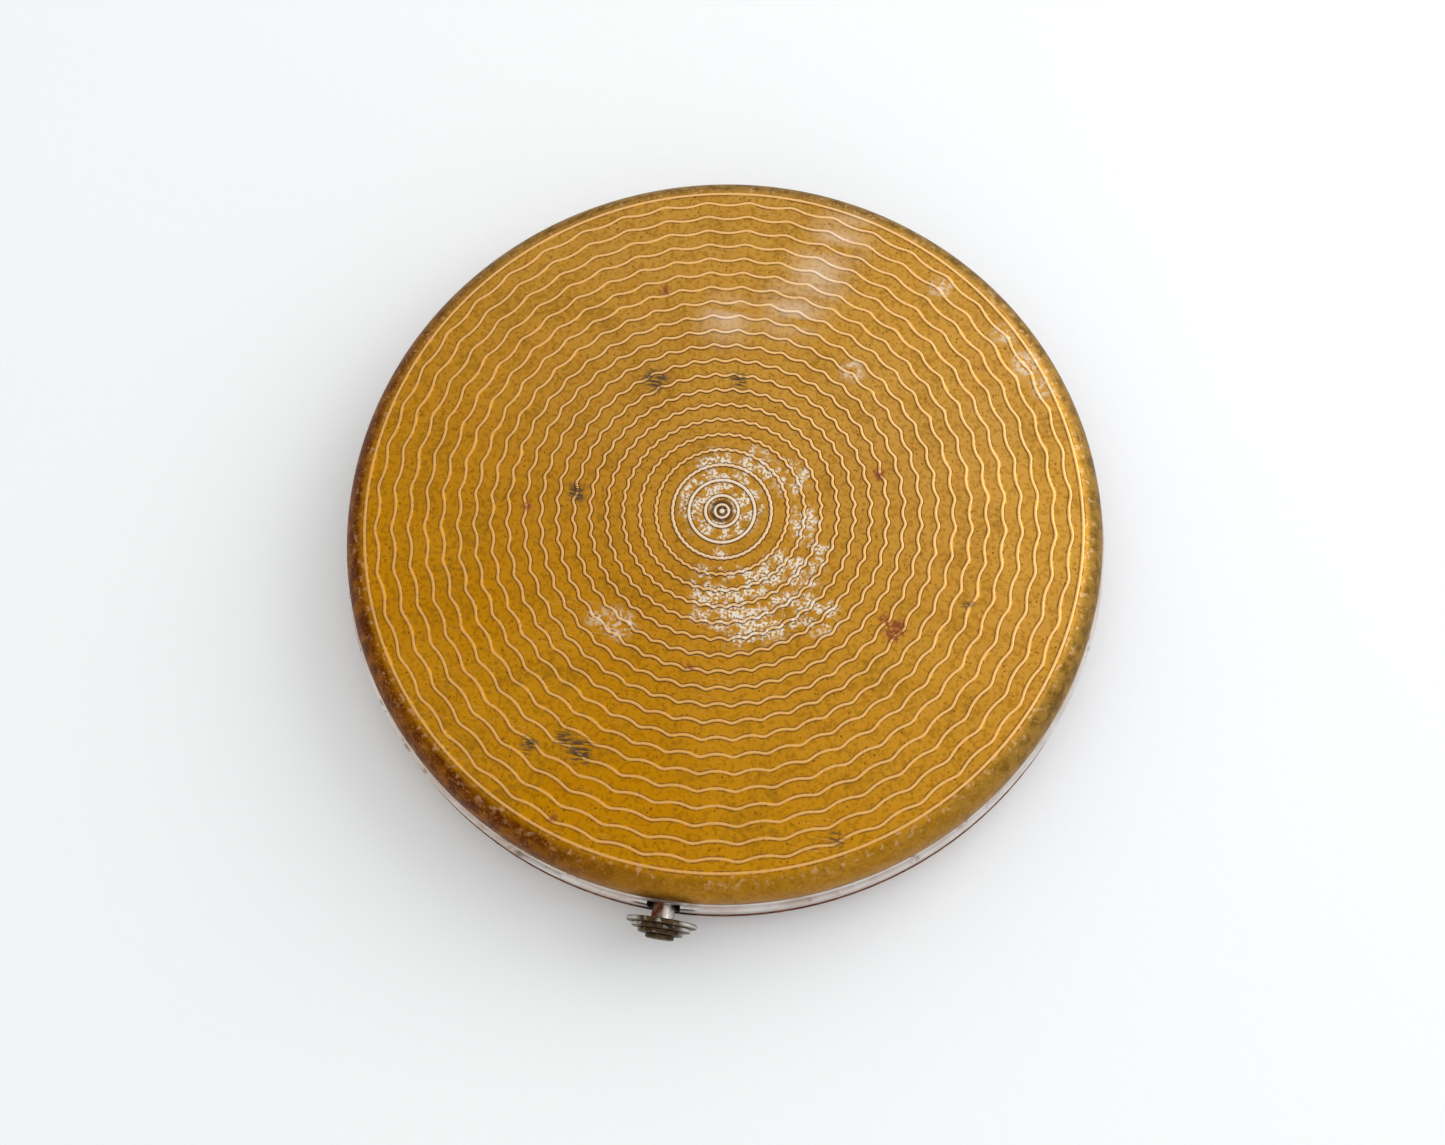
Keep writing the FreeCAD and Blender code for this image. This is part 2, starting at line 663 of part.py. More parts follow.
def make_button():
    """Turned in one: tail, stem, four stepped tiers. Turned about Z, then laid along -Y."""
    shoulder = f"({tailBack} - ({plateFront}))"
    head = f"({tailBack} + caseRadius + buttonTravel + buttonRest)"
    radii = ["tierRadiusA", "tierRadiusB", "tierRadiusC", "tierRadiusD"]
    outline = [
        ("0", "0"),
        ("tailRadius", "0"),
        ("tailRadius", shoulder),
        ("stemRadius", shoulder),
        ("stemRadius", head),
        ("tierRadiusA - edgeBreak", head),
    ]
    for step, radius in enumerate(radii):
        low = f"{head} + {step} * tierLength"
        high = f"{head} + {step + 1} * tierLength"
        if step:
            outline.append((radius, low))
        else:
            outline.append((radius, f"{low} + edgeBreak"))
        outline.append((radius, f"{high} - edgeBreak"))
        outline.append((f"{radius} - edgeBreak", high))
    outline.append(("0", f"{head} + {len(radii)} * tierLength"))
    button = make_turned("button", outline)
    button.Placement = Placement(Vector(), Rotation(Vector(1, 0, 0), 90))
    bind(button, {"Placement.Base.y": tailBack, "Placement.Base.z": buttonZ})
    return button


def make_latch():
    """Plate riveted on the stem's shoulder, with an ear above each of the lid's hooks."""
    plate = make_box("latch_body", ("-latchHalfWidth", "latchHalfWidth"), (plateFront, plateBack),
                     (f"{buttonZ} - latchHalfHeight", f"{buttonZ} + latchHalfHeight"))
    pieces = [plate]
    inner = "stemRadius + legEase"
    ear_low = f"{buttonZ} + latchEase"
    for side, across in (("left", ("-catchHalfWidth", f"-({inner})")),
                         ("right", (inner, "catchHalfWidth"))):
        pieces.append(make_box(f"latch_ear_{side}", across, (earFront, plateFront),
                               (ear_low, f"{ear_low} + hookHeight")))
    hole = make_rod("latch_hole", "y", "tailRadius",
                    (f"{plateFront} - toolOver", f"{plateBack} + toolOver"), "0", buttonZ)
    return make_cut("latch", make_fuse("latch_solid", pieces), [hole])


def make_washer():
    """Washer swaged on the tail behind the latch plate."""
    disc = make_rod("washer_disc", "y", "washerRadius", (plateBack, washerBack), "0", buttonZ)
    hole = make_rod("washer_hole", "y", "tailRadius",
                    (f"{plateBack} - toolOver", f"{washerBack} + toolOver"), "0", buttonZ)
    return make_cut("washer", disc, [hole])


# ---- assembly

base_knuckles = range(0, int(value("knuckleCount")), 2)
lid_knuckles = range(1, int(value("knuckleCount")), 2)
half_pin = "hingeLength / 2 - knuckleGap / 2"

NODES = {
    "lid_cover": make_lid_cover(),
    "lid_ring": make_lid_frame(),
    "mirror_card": make_disc("card", f"{mirrorRadius} - bezelEase", mirrorTop, cardTop),
    "mirror_glass": make_mirror(),
    "mirror_bezel": make_bezel(),
    "lid_hinge_leaf": make_lid_leaf(lid_knuckles),
    "lid_catch": make_lid_catch(),
    "base_pan": make_base_pan(),
    "base_collar": make_base_collar(),
    "base_hinge_leaf": make_base_leaf(base_knuckles),
    "hinge_pin": make_rod("pin", "x", "pinRadius", (f"-({half_pin})", half_pin), hingeY, hingeZ),
    "powder_well": make_well(),
    "powder": make_disc("powder_cake", wellInner, "panSheet + wellSheet", "deckTop - powderDrop"),
    "well_deck": make_deck(),
    "sifter_ring": make_sifter_ring(),
    "sifter_gauze": make_disc("gauze", sifterInner, gauzeBottom, f"{gauzeBottom} + gauzeSheet"),
    "powder_puff": make_puff(),
    "puff_ribbon": make_ribbon(),
    "button_guide": make_guide(),
    "return_spring": make_spring(),
    "push_button": make_button(),
    "latch_plate": make_latch(),
    "latch_washer": make_washer(),
}
for name, item in NODES.items():
    label(item, name)
doc.recompute()

for item in doc.Objects:
    if "Invalid" in item.State or "Error" in item.State:
        raise RuntimeError(f"{item.Label} failed: {item.State}")
for name, item in NODES.items():
    if item.Shape.isNull() or not item.Shape.isValid() or len(item.Shape.Solids) != 1:
        raise RuntimeError(f"{name} is not one valid solid")

os.makedirs("parts", exist_ok=True)
for name, item in NODES.items():
    item.Shape.exportStep(f"parts/{name}.step")
    box = item.Shape.BoundBox
    print(f"{name}: volume {item.Shape.Volume:.2f}, Z {box.ZMin:.2f} to {box.ZMax:.2f}")
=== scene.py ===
import json
import math
import bpy
import numpy as np
from mathutils import Matrix, Vector, noise
from mathutils.bvhtree import BVHTree


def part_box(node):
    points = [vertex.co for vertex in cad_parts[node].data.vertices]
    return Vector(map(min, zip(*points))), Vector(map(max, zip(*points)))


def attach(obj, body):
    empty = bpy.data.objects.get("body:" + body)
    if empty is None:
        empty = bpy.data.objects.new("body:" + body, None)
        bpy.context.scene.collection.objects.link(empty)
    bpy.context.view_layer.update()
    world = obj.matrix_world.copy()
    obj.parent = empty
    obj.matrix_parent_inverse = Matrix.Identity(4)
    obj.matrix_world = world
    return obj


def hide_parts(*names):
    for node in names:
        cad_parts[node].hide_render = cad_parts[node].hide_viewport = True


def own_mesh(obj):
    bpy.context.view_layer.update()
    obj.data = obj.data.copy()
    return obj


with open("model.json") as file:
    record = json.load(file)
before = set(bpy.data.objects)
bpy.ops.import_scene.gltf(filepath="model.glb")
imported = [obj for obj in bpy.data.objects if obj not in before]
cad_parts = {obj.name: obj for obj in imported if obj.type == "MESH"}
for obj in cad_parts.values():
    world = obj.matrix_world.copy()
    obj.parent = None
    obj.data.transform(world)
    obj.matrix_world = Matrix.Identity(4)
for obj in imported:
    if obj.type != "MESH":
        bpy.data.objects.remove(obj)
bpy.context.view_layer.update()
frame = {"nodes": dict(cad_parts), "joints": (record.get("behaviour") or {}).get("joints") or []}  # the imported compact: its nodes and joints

mm = 0.001
fullTurn = 2 * math.pi


def boxMm(node):
    return [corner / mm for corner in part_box(node)]


def tint(red, green, blue):  # a screen colour, 0 to 255, as scene light
    light = []
    for level in (red / 255, green / 255, blue / 255):
        light.append(level / 12.92 if level <= 0.04045 else ((level + 0.055) / 1.055) ** 2.4)
    return (*light, 1.0)


class Wire:  # one socket, so that masks can be written as sums
    def __init__(self, paint, socket):
        self.paint = paint
        self.socket = socket

    def sum(self, operation, first, second):
        return self.paint.add("ShaderNodeMath", {"operation": operation}, {0: first, 1: second})

    def __add__(self, other):
        return self.sum("ADD", self, other)

    def __radd__(self, other):
        return self.sum("ADD", other, self)

    def __sub__(self, other):
        return self.sum("SUBTRACT", self, other)

    def __rsub__(self, other):
        return self.sum("SUBTRACT", other, self)

    def __mul__(self, other):
        return self.sum("MULTIPLY", self, other)

    def __rmul__(self, other):
        return self.sum("MULTIPLY", other, self)

    def larger(self, other):
        return self.sum("MAXIMUM", self, other)

    def ease(self, low, high):  # 0 below low, 1 above high; low may be the larger
        swapped = low > high
        settings = {"interpolation_type": "SMOOTHSTEP"}
        sockets = {"Value": self, "From Min": min(low, high), "From Max": max(low, high)}
        sockets["To Min"] = 1.0 if swapped else 0.0
        sockets["To Max"] = 0.0 if swapped else 1.0
        return self.paint.add("ShaderNodeMapRange", settings, sockets)


class Paint:  # a node tree for one finish, or for the room's light
    def __init__(self, owner, coordinate="Object", scale=1 / mm):
        owner.use_nodes = True
        self.owner = owner
        self.nodes = owner.node_tree.nodes
        self.links = owner.node_tree.links
        self.nodes.clear()
        source = self.add("ShaderNodeTexCoord", out=coordinate)
        self.where = self.vector("SCALE", source, scale=scale)

    def add(self, kind, settings=None, sockets=None, out=0):
        node = self.nodes.new(kind)
        for name, setting in (settings or {}).items():
            setattr(node, name, setting)
        for name, given in (sockets or {}).items():
            if isinstance(given, Wire):
                self.links.new(given.socket, node.inputs[name])
            else:
                node.inputs[name].default_value = given
        return Wire(self, node.outputs[out]) if node.outputs else None

    def vector(self, operation, first, second=None, scale=None, out=0):
        sockets = {0: first}
        if second is not None:
            sockets[1] = second
        if scale is not None:
            sockets["Scale"] = scale
        return self.add("ShaderNodeVectorMath", {"operation": operation}, sockets, out)

    def mix(self, share, first, second):
        return self.add("ShaderNodeMix", {"data_type": "RGBA"}, {0: share, 6: first, 7: second}, 2)

    def cloud(self, size, detail=3.0, where=None):  # soft noise about size mm across
        sockets = {"Vector": where or self.where, "Scale": 1 / size, "Detail": detail}
        return self.add("ShaderNodeTexNoise", None, sockets)

    def pits(self, size, where=None):  # distance from scattered points about size mm apart
        sockets = {"Vector": where or self.where, "Scale": 1 / size}
        return self.add("ShaderNodeTexVoronoi", {"feature": "F1"}, sockets)

    def streaks(self, width, length, turn):  # noise drawn out along one direction in the flat
        sockets = {"Vector": self.where, "Rotation": (0, 0, math.radians(turn)),
                   "Scale": (1 / length, 1 / width, 1 / width)}
        drawn = self.add("ShaderNodeMapping", None, sockets)
        return self.cloud(1.0, 2.0, drawn)

    def radius(self):  # distance from the compact's upright axis, mm
        flat = self.vector("MULTIPLY", self.where, (1, 1, 0))
        return self.vector("LENGTH", flat, out="Value")

    def along(self, degrees):  # distance along one direction in the flat, mm
        turn = math.radians(degrees)
        return self.vector("DOT_PRODUCT", self.where, (math.cos(turn), math.sin(turn), 0), out="Value")

    def height(self):  # height above the table, mm
        return self.vector("DOT_PRODUCT", self.where, (0, 0, 1), out="Value")

    def wobbled(self, amount, size):  # the place, pushed about so that outlines get ragged
        pushed = self.add("ShaderNodeTexNoise", None, {"Vector": self.where, "Scale": 1 / size,
                                                      "Detail": 3.0}, "Color")
        centred = self.vector("SUBTRACT", pushed, (0.5, 0.5, 0.5))
        return self.vector("ADD", self.where, self.vector("SCALE", centred, scale=amount))

    def spots(self, places, where, soft=0.5):  # 1 inside any of the round places, mm
        mask = None
        for across, along, reach in places:
            flat = self.vector("MULTIPLY", where, (1, 1, 0))
            gap = self.vector("DISTANCE", flat, (across, along, 0), out="Value")
            inside = gap.ease(reach + soft, reach - soft)
            mask = inside if mask is None else mask.larger(inside)
        return mask

    def surface(self, colour, rough, metal=1.0, height=None, depth=0.01, **more):
        sockets = {"Base Color": colour, "Roughness": rough, "Metallic": metal}
        for name, given in more.items():
            sockets[name] = given
        if height is not None:
            bumped = {"Height": height, "Distance": depth * mm}
            sockets["Normal"] = self.add("ShaderNodeBump", None, bumped)
        shader = self.add("ShaderNodeBsdfPrincipled", None, sockets)
        self.add("ShaderNodeOutputMaterial", None, {"Surface": shader})
        return self.owner


def finish(name):
    return Paint(bpy.data.materials.new(name))


def addObject(name, points, faces):
    mesh = bpy.data.meshes.new(name)
    mesh.from_pydata([list(point) for point in points], [], faces)
    mesh.polygons.foreach_set("use_smooth", [True] * len(mesh.polygons))
    mesh.update()
    item = bpy.data.objects.new(name, mesh)
    bpy.context.scene.collection.objects.link(item)
    return item


def ringFaces(rows, segments, first, closedStart, closedEnd):
    # quads between rows of vertices, and fans to the axis points at the two ends
    faces = []
    for row in range(rows - 1):
        for step in range(segments):
            following = (step + 1) % segments
            low = first + row * segments
            high = low + segments
            faces.append((low + step, high + step, high + following, low + following))
    last = first + (rows - 1) * segments
    for step in range(segments):
        following = (step + 1) % segments
        if closedStart is not None:
            faces.append((closedStart, first + step, first + following))
        if closedEnd is not None:
            faces.append((closedEnd, last + following, last + step))
    return faces


def turned(name, rows, segments):
    # rows are (radius, height) in mm, from one end of the axis to the other
    angle = np.arange(segments) * fullTurn / segments
    points = [(0, 0, rows[0][1] * mm)]
    for radius, height in rows[1:-1]:
        for step in angle:
            points.append((radius * math.cos(step) * mm, radius * math.sin(step) * mm, height * mm))
    points.append((0, 0, rows[-1][1] * mm))
    faces = ringFaces(len(rows) - 2, segments, 1, 0, len(points) - 1)
    return addObject(name, points, faces)


def rounded(corners, reach, steps=4):
    # an outline of (radius, height) corners with each inner corner rounded off
    rows = [corners[0]]
    for before, corner, after in zip(corners, corners[1:], corners[2:]):
        here = Vector(corner)
        back = Vector(before) - here
        ahead = Vector(after) - here
        cut = min(reach, back.length * 0.45, ahead.length * 0.45)
        start = here + back.normalized() * cut
        end = here + ahead.normalized() * cut
        for step in range(steps + 1):
            share = step / steps
            bent = start.lerp(here, share).lerp(here.lerp(end, share), share)
            rows.append((bent.x, bent.y))
    rows.append(corners[-1])
    return rows


def dress(item, material):
    item.data.materials.clear()
    item.data.materials.append(material)
    return item


# gilt lid cover with its wavy rings
coverPlan = {
    "rings": 21,               # wavy rings between the centre and the rim
    "pitch": 1.478,            # mm from ring to ring
    "plainRing": 32.15,        # last ring, round, at the edge of the flat
    "eyeRing": 0.62,           # smallest ring, round the centre dot
    "eyeDot": 0.26,
    "waves": 48,               # waves in one turn
    "stepsPerWave": 10,
    "waveStart": 185.0,        # degrees
    "waveReach": 0.16,         # mm in and out, far from the centre
    "waveGrowth": 6.65,        # mm over which the waves grow
    "waveFrom": 3.25,          # mm, no waves inside this
    "scallop": 0.16,           # share of the second harmonic
    "ridgeHalf": 0.2,
    "ridgeHeight": 0.06,
    "footReach": 1.3,          # the flat starts at this many half widths from a ridge
    "shoulderWidth": 2.3,
    "shoulderRows": 13,
    "sheet": 0.4,
    "unevenness": 0.012,
}


def waveReach(radius):
    grown = max(0.0, radius - coverPlan["waveFrom"]) / coverPlan["waveGrowth"]
    return coverPlan["waveReach"] * (1 - math.exp(-grown))


def ridgeProfile():
    # (place across the ridge, height), both as shares
    return [(-1.0, 0.0), (-0.62, 0.94), (0.0, 1.06), (0.62, 0.94), (1.0, 0.0)]


def coverRows():
    # outer skin: (radius, ridge height, distance from the nearest ridge) from centre to rim;
    # the flats between ridges count as two half widths away
    half = coverPlan["ridgeHalf"]
    dot = coverPlan["eyeDot"]
    rows = [(dot * 0.45, 1.0, 0.0), (dot * 0.8, 0.6, dot * 0.4), (dot, 0.0, half)]
    rings = [coverPlan["eyeRing"]]
    rings += [number * coverPlan["pitch"] for number in range(1, coverPlan["rings"] + 1)]
    rings.append(coverPlan["plainRing"])
    before = dot
    for ring in rings:
        slim = min(half, (ring - before) * 0.45)
        foot = half * coverPlan["footReach"]
        if ring - before > 3 * half:
            rows.append((ring - foot, 0.0, 2 * half))
        for place, height in ridgeProfile():
            rows.append((ring + place * slim, height, abs(place) * half))
        if ring > coverPlan["pitch"] * 0.9 and ring < coverPlan["plainRing"] - 0.1:
            rows.append((ring + foot, 0.0, 2 * half))
        before = ring
    return rows


def makeLidCover():
    low, high = boxMm("lid_cover")
    rim = high.x
    flatEnd = rim - coverPlan["shoulderWidth"]
    segments = coverPlan["waves"] * coverPlan["stepsPerWave"]
    angle = np.arange(segments) * fullTurn / segments
    start = math.radians(coverPlan["waveStart"])
    swing = np.cos(coverPlan["waves"] * angle + start)
    swing = swing + coverPlan["scallop"] * np.cos(2 * coverPlan["waves"] * angle + 2 * start)

    def drop(radius):  # how far the shoulder has fallen at this radius
        share = min(1.0, max(0.0, (radius - flatEnd) / coverPlan["shoulderWidth"]))
        return (high.z - low.z) * (1 - math.sqrt(1 - share * share))

    points = [(0, 0, (high.z + coverPlan["ridgeHeight"]) * mm)]
    away = [0.0]
    rows = coverRows()
    for radius, ridge, distance in rows:
        shift = waveReach(radius) if radius < coverPlan["plainRing"] - 0.5 else 0.0
        for step in range(segments):
            reach = radius + shift * swing[step]
            across = reach * math.cos(angle[step])
            along = reach * math.sin(angle[step])
            uneven = noise.noise((across / 9, along / 9, 3.0)) * coverPlan["unevenness"]
            height = high.z - drop(reach) + ridge * coverPlan["ridgeHeight"] + uneven
            points.append((across * mm, along * mm, height * mm))
            away.append(distance)
    lastFlat = rows[-1][0]
    top = math.asin(min(1.0, (lastFlat - flatEnd) / coverPlan["shoulderWidth"]))
    shell = []
    for step in range(1, coverPlan["shoulderRows"] + 1):
        bend = top + (math.pi / 2 - top) * step / coverPlan["shoulderRows"]
        shell.append((flatEnd + coverPlan["shoulderWidth"] * math.sin(bend),
                      low.z + (high.z - low.z) * math.cos(bend)))
    sheet = coverPlan["sheet"]
    for step in range(5):  # the inside of the stamping, back up under the flat
        bend = math.pi / 2 * (1 - step / 4)
        shell.append((flatEnd + (coverPlan["shoulderWidth"] - sheet) * math.sin(bend),
                      low.z + (high.z - low.z - sheet) * math.cos(bend)))
    for radius, height in shell:
        for step in angle:
            points.append((radius * math.cos(step) * mm, radius * math.sin(step) * mm, height * mm))
            away.append(1.0)
    points.append((0, 0, (high.z - sheet) * mm))
    away.append(1.0)
    faces = ringFaces(len(rows) + len(shell), segments, 1, 0, len(points) - 1)
    cover = addObject("wavyLidCover", points, faces)
    line = cover.data.attributes.new("away", "FLOAT", "POINT")
    line.data.foreach_set("value", np.array(away, np.float32))
    return cover


# marks on the gilt, in mm, as met by someone who looks across the lid from just left of the button
lookTurn = 13.35


def marks(places):
    turn = math.radians(lookTurn)
    spread = []
    for across, along, reach in places:
        spread.append((across * math.cos(turn) - along * math.sin(turn),
                       across * math.sin(turn) + along * math.cos(turn), reach))
    return spread


giltWear = {
    "silverCentre": [(0.0, 0.6, 3.6), (-0.3, 4.2, 1.9), (3.6, 3.6, 1.9), (6.4, 2.6, 1.7)],
    "silverSide": [(7.1, -1.8, 1.5), (7.6, -5.0, 1.6), (5.6, -5.6, 1.7), (-1.0, -4.6, 1.3)],
    "silverBelow": [(-1.6, -6.9, 1.6), (0.8, -7.0, 1.9), (3.2, -6.6, 1.7), (-1.3, -9.0, 1.9),
                    (1.2, -10.8, 2.1), (4.0, -10.2, 2.0), (6.3, -8.6, 1.8), (7.6, -10.6, 1.6)],
    "scuffs": [(-9.8, -9.6, 1.4), (-11.6, -8.9, 0.9), (22.3, 20.2, 0.9), (13.2, 12.4, 1.0),
               (28.9, 11.6, 1.3), (30.2, 9.2, 1.0), (27.4, 14.8, 1.0)],
    "haze": [(8.2, 19.2, 2.2), (11.0, 22.5, 2.2), (13.8, 26.4, 2.0), (2.0, 18.8, 1.6)],
    "rust": [(14.1, -12.4, 1.0), (13.4, -11.6, 0.5), (-17.3, 2.1, 0.45), (-4.1, -14.2, 0.4),
             (14.6, 2.2, 0.5), (-16.5, -26.2, 0.35), (-3.4, 22.4, 0.5)],
    "dark": [(-14.0, -20.5, 1.1), (-15.2, -19.4, 0.7), (-18.3, -19.7, 0.7), (7.2, -29.9, 0.5),
             (20.7, -10.5, 0.35), (-5.1, 13.3, 1.1), (2.6, 12.5, 0.6), (-13.0, 3.0, 0.8)],
}


def giltGround(paint, away, radius):  # the flats with a painted sheen towards the upper right, the pale ridge tops and the dirt at their feet
    fine = paint.cloud(0.35, 4.0)
    medium = paint.cloud(2.4, 4.0)
    broad = paint.cloud(16.0, 2.0)

    # painted sheen: the gilt turns lighter and less saturated towards the upper right, where the window
    # light falls
    paintedSheenAxis = paint.along(58.0)
    land = paint.mix(paintedSheenAxis.ease(-24.0, 22.0), tint(187, 126, 6), tint(190, 141, 64))
    land = paint.mix(broad.ease(0.3, 0.7) * 0.3, land, tint(200, 146, 40))
    land = paint.mix(medium.ease(0.45, 0.75) * 0.18, land, tint(176, 114, 8))
    land = paint.mix(fine.ease(0.46, 0.66) * 0.5, land, tint(138, 88, 8))
    worn = paint.cloud(5.0, 5.0).ease(0.48, 0.68) * paint.cloud(0.5, 4.0).ease(0.4, 0.62)
    land = paint.mix(worn * 0.5, land, tint(136, 96, 22))
    pitted = paint.pits(0.5).ease(0.3, 0.1) * paint.cloud(1.1, 4.0).ease(0.44, 0.64)
    land = paint.mix(pitted * 0.75, land, tint(104, 62, 6))
    strip = away.ease(0.15, 0.07)
    # worn, paler ridge tops, made paler still towards the upper right as a painted highlight
    pale = 0.5 + 0.35 * paintedSheenAxis.ease(-26.0, 20.0)
    land = paint.mix(strip * pale, land, tint(246, 196, 128))
    inner = radius.ease(25.0, 10.0)
    foot = away.ease(0.1, 0.16) * away.ease(0.395, 0.26)
    caked = foot * (paint.cloud(0.9, 4.0) + 0.24 * inner).ease(0.4, 0.54) * (0.6 + 0.4 * inner)
    land = paint.mix(caked * 0.92, land, tint(70, 38, 4))
    return land, strip, caked, pitted


def giltSilver(paint, land, strip, caked, radius):  # bare metal where the gilt has gone
    ragged = paint.wobbled(2.6, 1.6)
    ivory = paint.cloud(1.0, 5.0).ease(0.42, 0.56) * paint.cloud(0.26, 4.0).ease(0.42, 0.56)
    silver = paint.spots(marks(giltWear["silverCentre"] + giltWear["silverSide"]
                               + giltWear["silverBelow"]), ragged) * ivory
    polished = strip * radius.ease(5.4, 3.6) * 0.75
    silver = silver.larger(polished) * (1 - 0.8 * caked)
    land = paint.mix(silver * 0.9, land, tint(228, 222, 208))
    return land, silver


def giltMarks(paint, land, strip):  # scuffs, haze, rust, dark spots and scratches
    fine = paint.cloud(0.35, 4.0)
    drift = paint.wobbled(1.6, 0.9)
    scuff = paint.spots(marks(giltWear["scuffs"]), drift) * fine.ease(0.42, 0.6)
    land = paint.mix(scuff * 0.6, land, tint(232, 214, 190))
    haze = paint.spots(marks(giltWear["haze"]), drift, 2.4) * paint.streaks(1.1, 9.0, 66).ease(0.25, 0.6)
    land = paint.mix(haze * (0.3 + 0.35 * strip), land, tint(244, 226, 206))
    rust = paint.spots(marks(giltWear["rust"]), drift, 0.35) * fine.ease(0.36, 0.54)
    land = paint.mix(rust * 0.85, land, tint(128, 52, 12))
    dark = paint.spots(marks(giltWear["dark"]), drift, 0.5)
    dark = dark * paint.streaks(0.16, 1.1, 35).ease(0.4, 0.54)
    land = paint.mix(dark * 0.92, land, tint(60, 42, 16))

    scratch = paint.streaks(0.07, 5.0, 24).ease(0.66, 0.72) + paint.streaks(0.06, 4.0, 128).ease(0.67, 0.73)
    scratch = scratch * paint.cloud(7.0, 2.0).ease(0.5, 0.7)
    land = paint.mix(scratch * 0.5, land, tint(240, 206, 150))
    return land, haze, rust.larger(dark), scratch


def giltShoulder(paint, land, radius):  # tarnish round the rim with a painted maroon reflection towards the left-front and painted light on the side facing the camera, and the dark line above the silver
    shoulder = radius.ease(32.2, 33.0)
    olive = paint.mix(paint.cloud(1.1, 5.0).ease(0.35, 0.62), tint(104, 76, 20), tint(150, 114, 46))
    # painted reflection: maroon stands for a dark surround mirrored in the rim
    maroonReflection = paint.mix(paint.cloud(1.3, 5.0).ease(0.4, 0.65), tint(84, 26, 0), tint(132, 76, 2))
    # olive tarnish, turning into the painted maroon reflection towards the rim's left-front
    tarnishAndReflection = paint.mix(paint.along(195.0 + lookTurn).ease(10.0, 27.0), olive, maroonReflection)
    speckle = paint.cloud(0.22, 3.0).ease(0.56, 0.68)
    tarnishAndReflection = paint.mix(speckle * 0.4, tarnishAndReflection, tint(196, 152, 78))
    # painted light: the rim's darkening is weaker on the side that faces the camera
    front = paint.along(lookTurn - 82.0).ease(24.0, 34.0)
    edge = shoulder * paint.cloud(3.2, 5.0).ease(0.16, 0.4) * (1 - 0.55 * front)
    land = paint.mix(edge * 0.92, land, tarnishAndReflection)
    rubbed = radius.ease(31.9, 32.5) * radius.ease(33.7, 32.9) * paint.cloud(0.6, 5.0).ease(0.54, 0.68)
    land = paint.mix(rubbed * 0.4, land, tint(226, 182, 142))
    crimp = paint.height().ease(7.7, 7.3)
    land = paint.mix(crimp * 0.85, land, tint(58, 34, 12))
    return land, edge


def giltFinish():
    paint = finish("wornGilt")
    away = paint.add("ShaderNodeAttribute", {"attribute_name": "away"}, None, "Fac")
    radius = paint.radius()
    land, strip, caked, pitted = giltGround(paint, away, radius)
    land, silver = giltSilver(paint, land, strip, caked, radius)
    land, haze, spoiled, scratch = giltMarks(paint, land, strip)
    land, edge = giltShoulder(paint, land, radius)
    fine = paint.cloud(0.35, 4.0)
    medium = paint.cloud(2.4, 4.0)
    dull = caked.larger(spoiled)
    rough = 0.4 + 0.14 * medium + 0.2 * dull + 0.14 * silver + 0.08 * edge
    metal = 1.0 - 0.6 * dull - 0.3 * haze - 0.35 * silver
    height = fine * 0.5 - pitted * 0.8 - silver * fine * 0.6 - scratch * 0.4
    return paint.surface(land, rough, metal, height, 0.018)


# push button, turned in steps
buttonPlan = {
    "tiers": (3.1, 2.6, 2.0, 1.25),
    "tierLength": 0.4,
    "stem": 1.0,
    "tail": 0.7,
    "tailEnd": 3.5,      # length of the thin inner end
    "bead": 0.16,        # rounding of each tier
    "groove": 0.09,      # undercut at the foot of each tier
    "segments": 96,
}


def makeButton():
    low, high = boxMm("push_button")
    tierLength = buttonPlan["tierLength"]
    tiers = buttonPlan["tiers"]
    head = high.y - low.y - tierLength * len(tiers)
    corners = [(0, 0), (buttonPlan["tail"], 0), (buttonPlan["tail"], buttonPlan["tailEnd"]),
               (buttonPlan["stem"], buttonPlan["tailEnd"]), (buttonPlan["stem"], head)]
    for step, radius in enumerate(tiers):
        foot = head + step * tierLength
        if step:
            corners.append((radius - buttonPlan["groove"], foot))
            corners.append((radius - buttonPlan["groove"], foot + 0.06))
            foot = foot + 0.06
        corners.append((radius, foot))
        corners.append((radius, head + (step + 1) * tierLength))
    corners.append((0, high.y - low.y))
    button = turned("steppedButton", rounded(corners, buttonPlan["bead"]), buttonPlan["segments"])
    button.data.transform(Matrix.Rotation(math.pi / 2, 4, "X"))
    middle = (low.z + high.z) / 2
    button.data.transform(Matrix.Translation((0, high.y * mm, middle * mm)))
    return button


def buttonFinish():
    paint = finish("tarnishedButton")
    front = boxMm("push_button")[0].y
    tier = buttonPlan["tierLength"]
    back = front + tier * len(buttonPlan["tiers"])
    side = paint.along(0.0)
    away = paint.along(90.0)
    patchy = paint.cloud(0.7, 4.0)
    plate = paint.mix(paint.cloud(0.25, 3.0), tint(172, 162, 150), tint(220, 214, 206))
    brown = paint.mix(paint.cloud(0.5, 3.0).ease(0.35, 0.65), tint(36, 26, 10), tint(84, 60, 24))
    head = away.ease(back + 0.06, back - 0.06)
    centre = side.ease(-2.3, -1.5) * side.ease(2.3, 1.5) * head
    steps = paint.add("ShaderNodeMath", {"operation": "PINGPONG"}, {0: away - front + tier, 1: tier / 2})
    groove = steps.ease(0.09, 0.03) * head
    stain = (centre * patchy.ease(0.25, 0.45)).larger(groove * 0.85)
    colour = paint.mix(stain, plate, brown)
    rust = (1 - head) * side.ease(0.2, -0.1) * (0.6 + 0.4 * patchy.ease(0.4, 0.6))
    colour = paint.mix(rust, colour, tint(118, 58, 22))
    rough = 0.26 + 0.28 * stain + 0.35 * rust + 0.1 * patchy
    metal = 1.0 - 0.4 * stain - 0.5 * rust
    height = paint.cloud(0.12, 4.0) - 0.7 * groove
    return paint.surface(colour, rough, metal, height, 0.02)


# coil spring, drawn as wire
springPlan = {"wire": 0.12, "turns": 4, "ease": 0.15, "tail": 0.7, "stepsPerTurn": 36, "sides": 12}


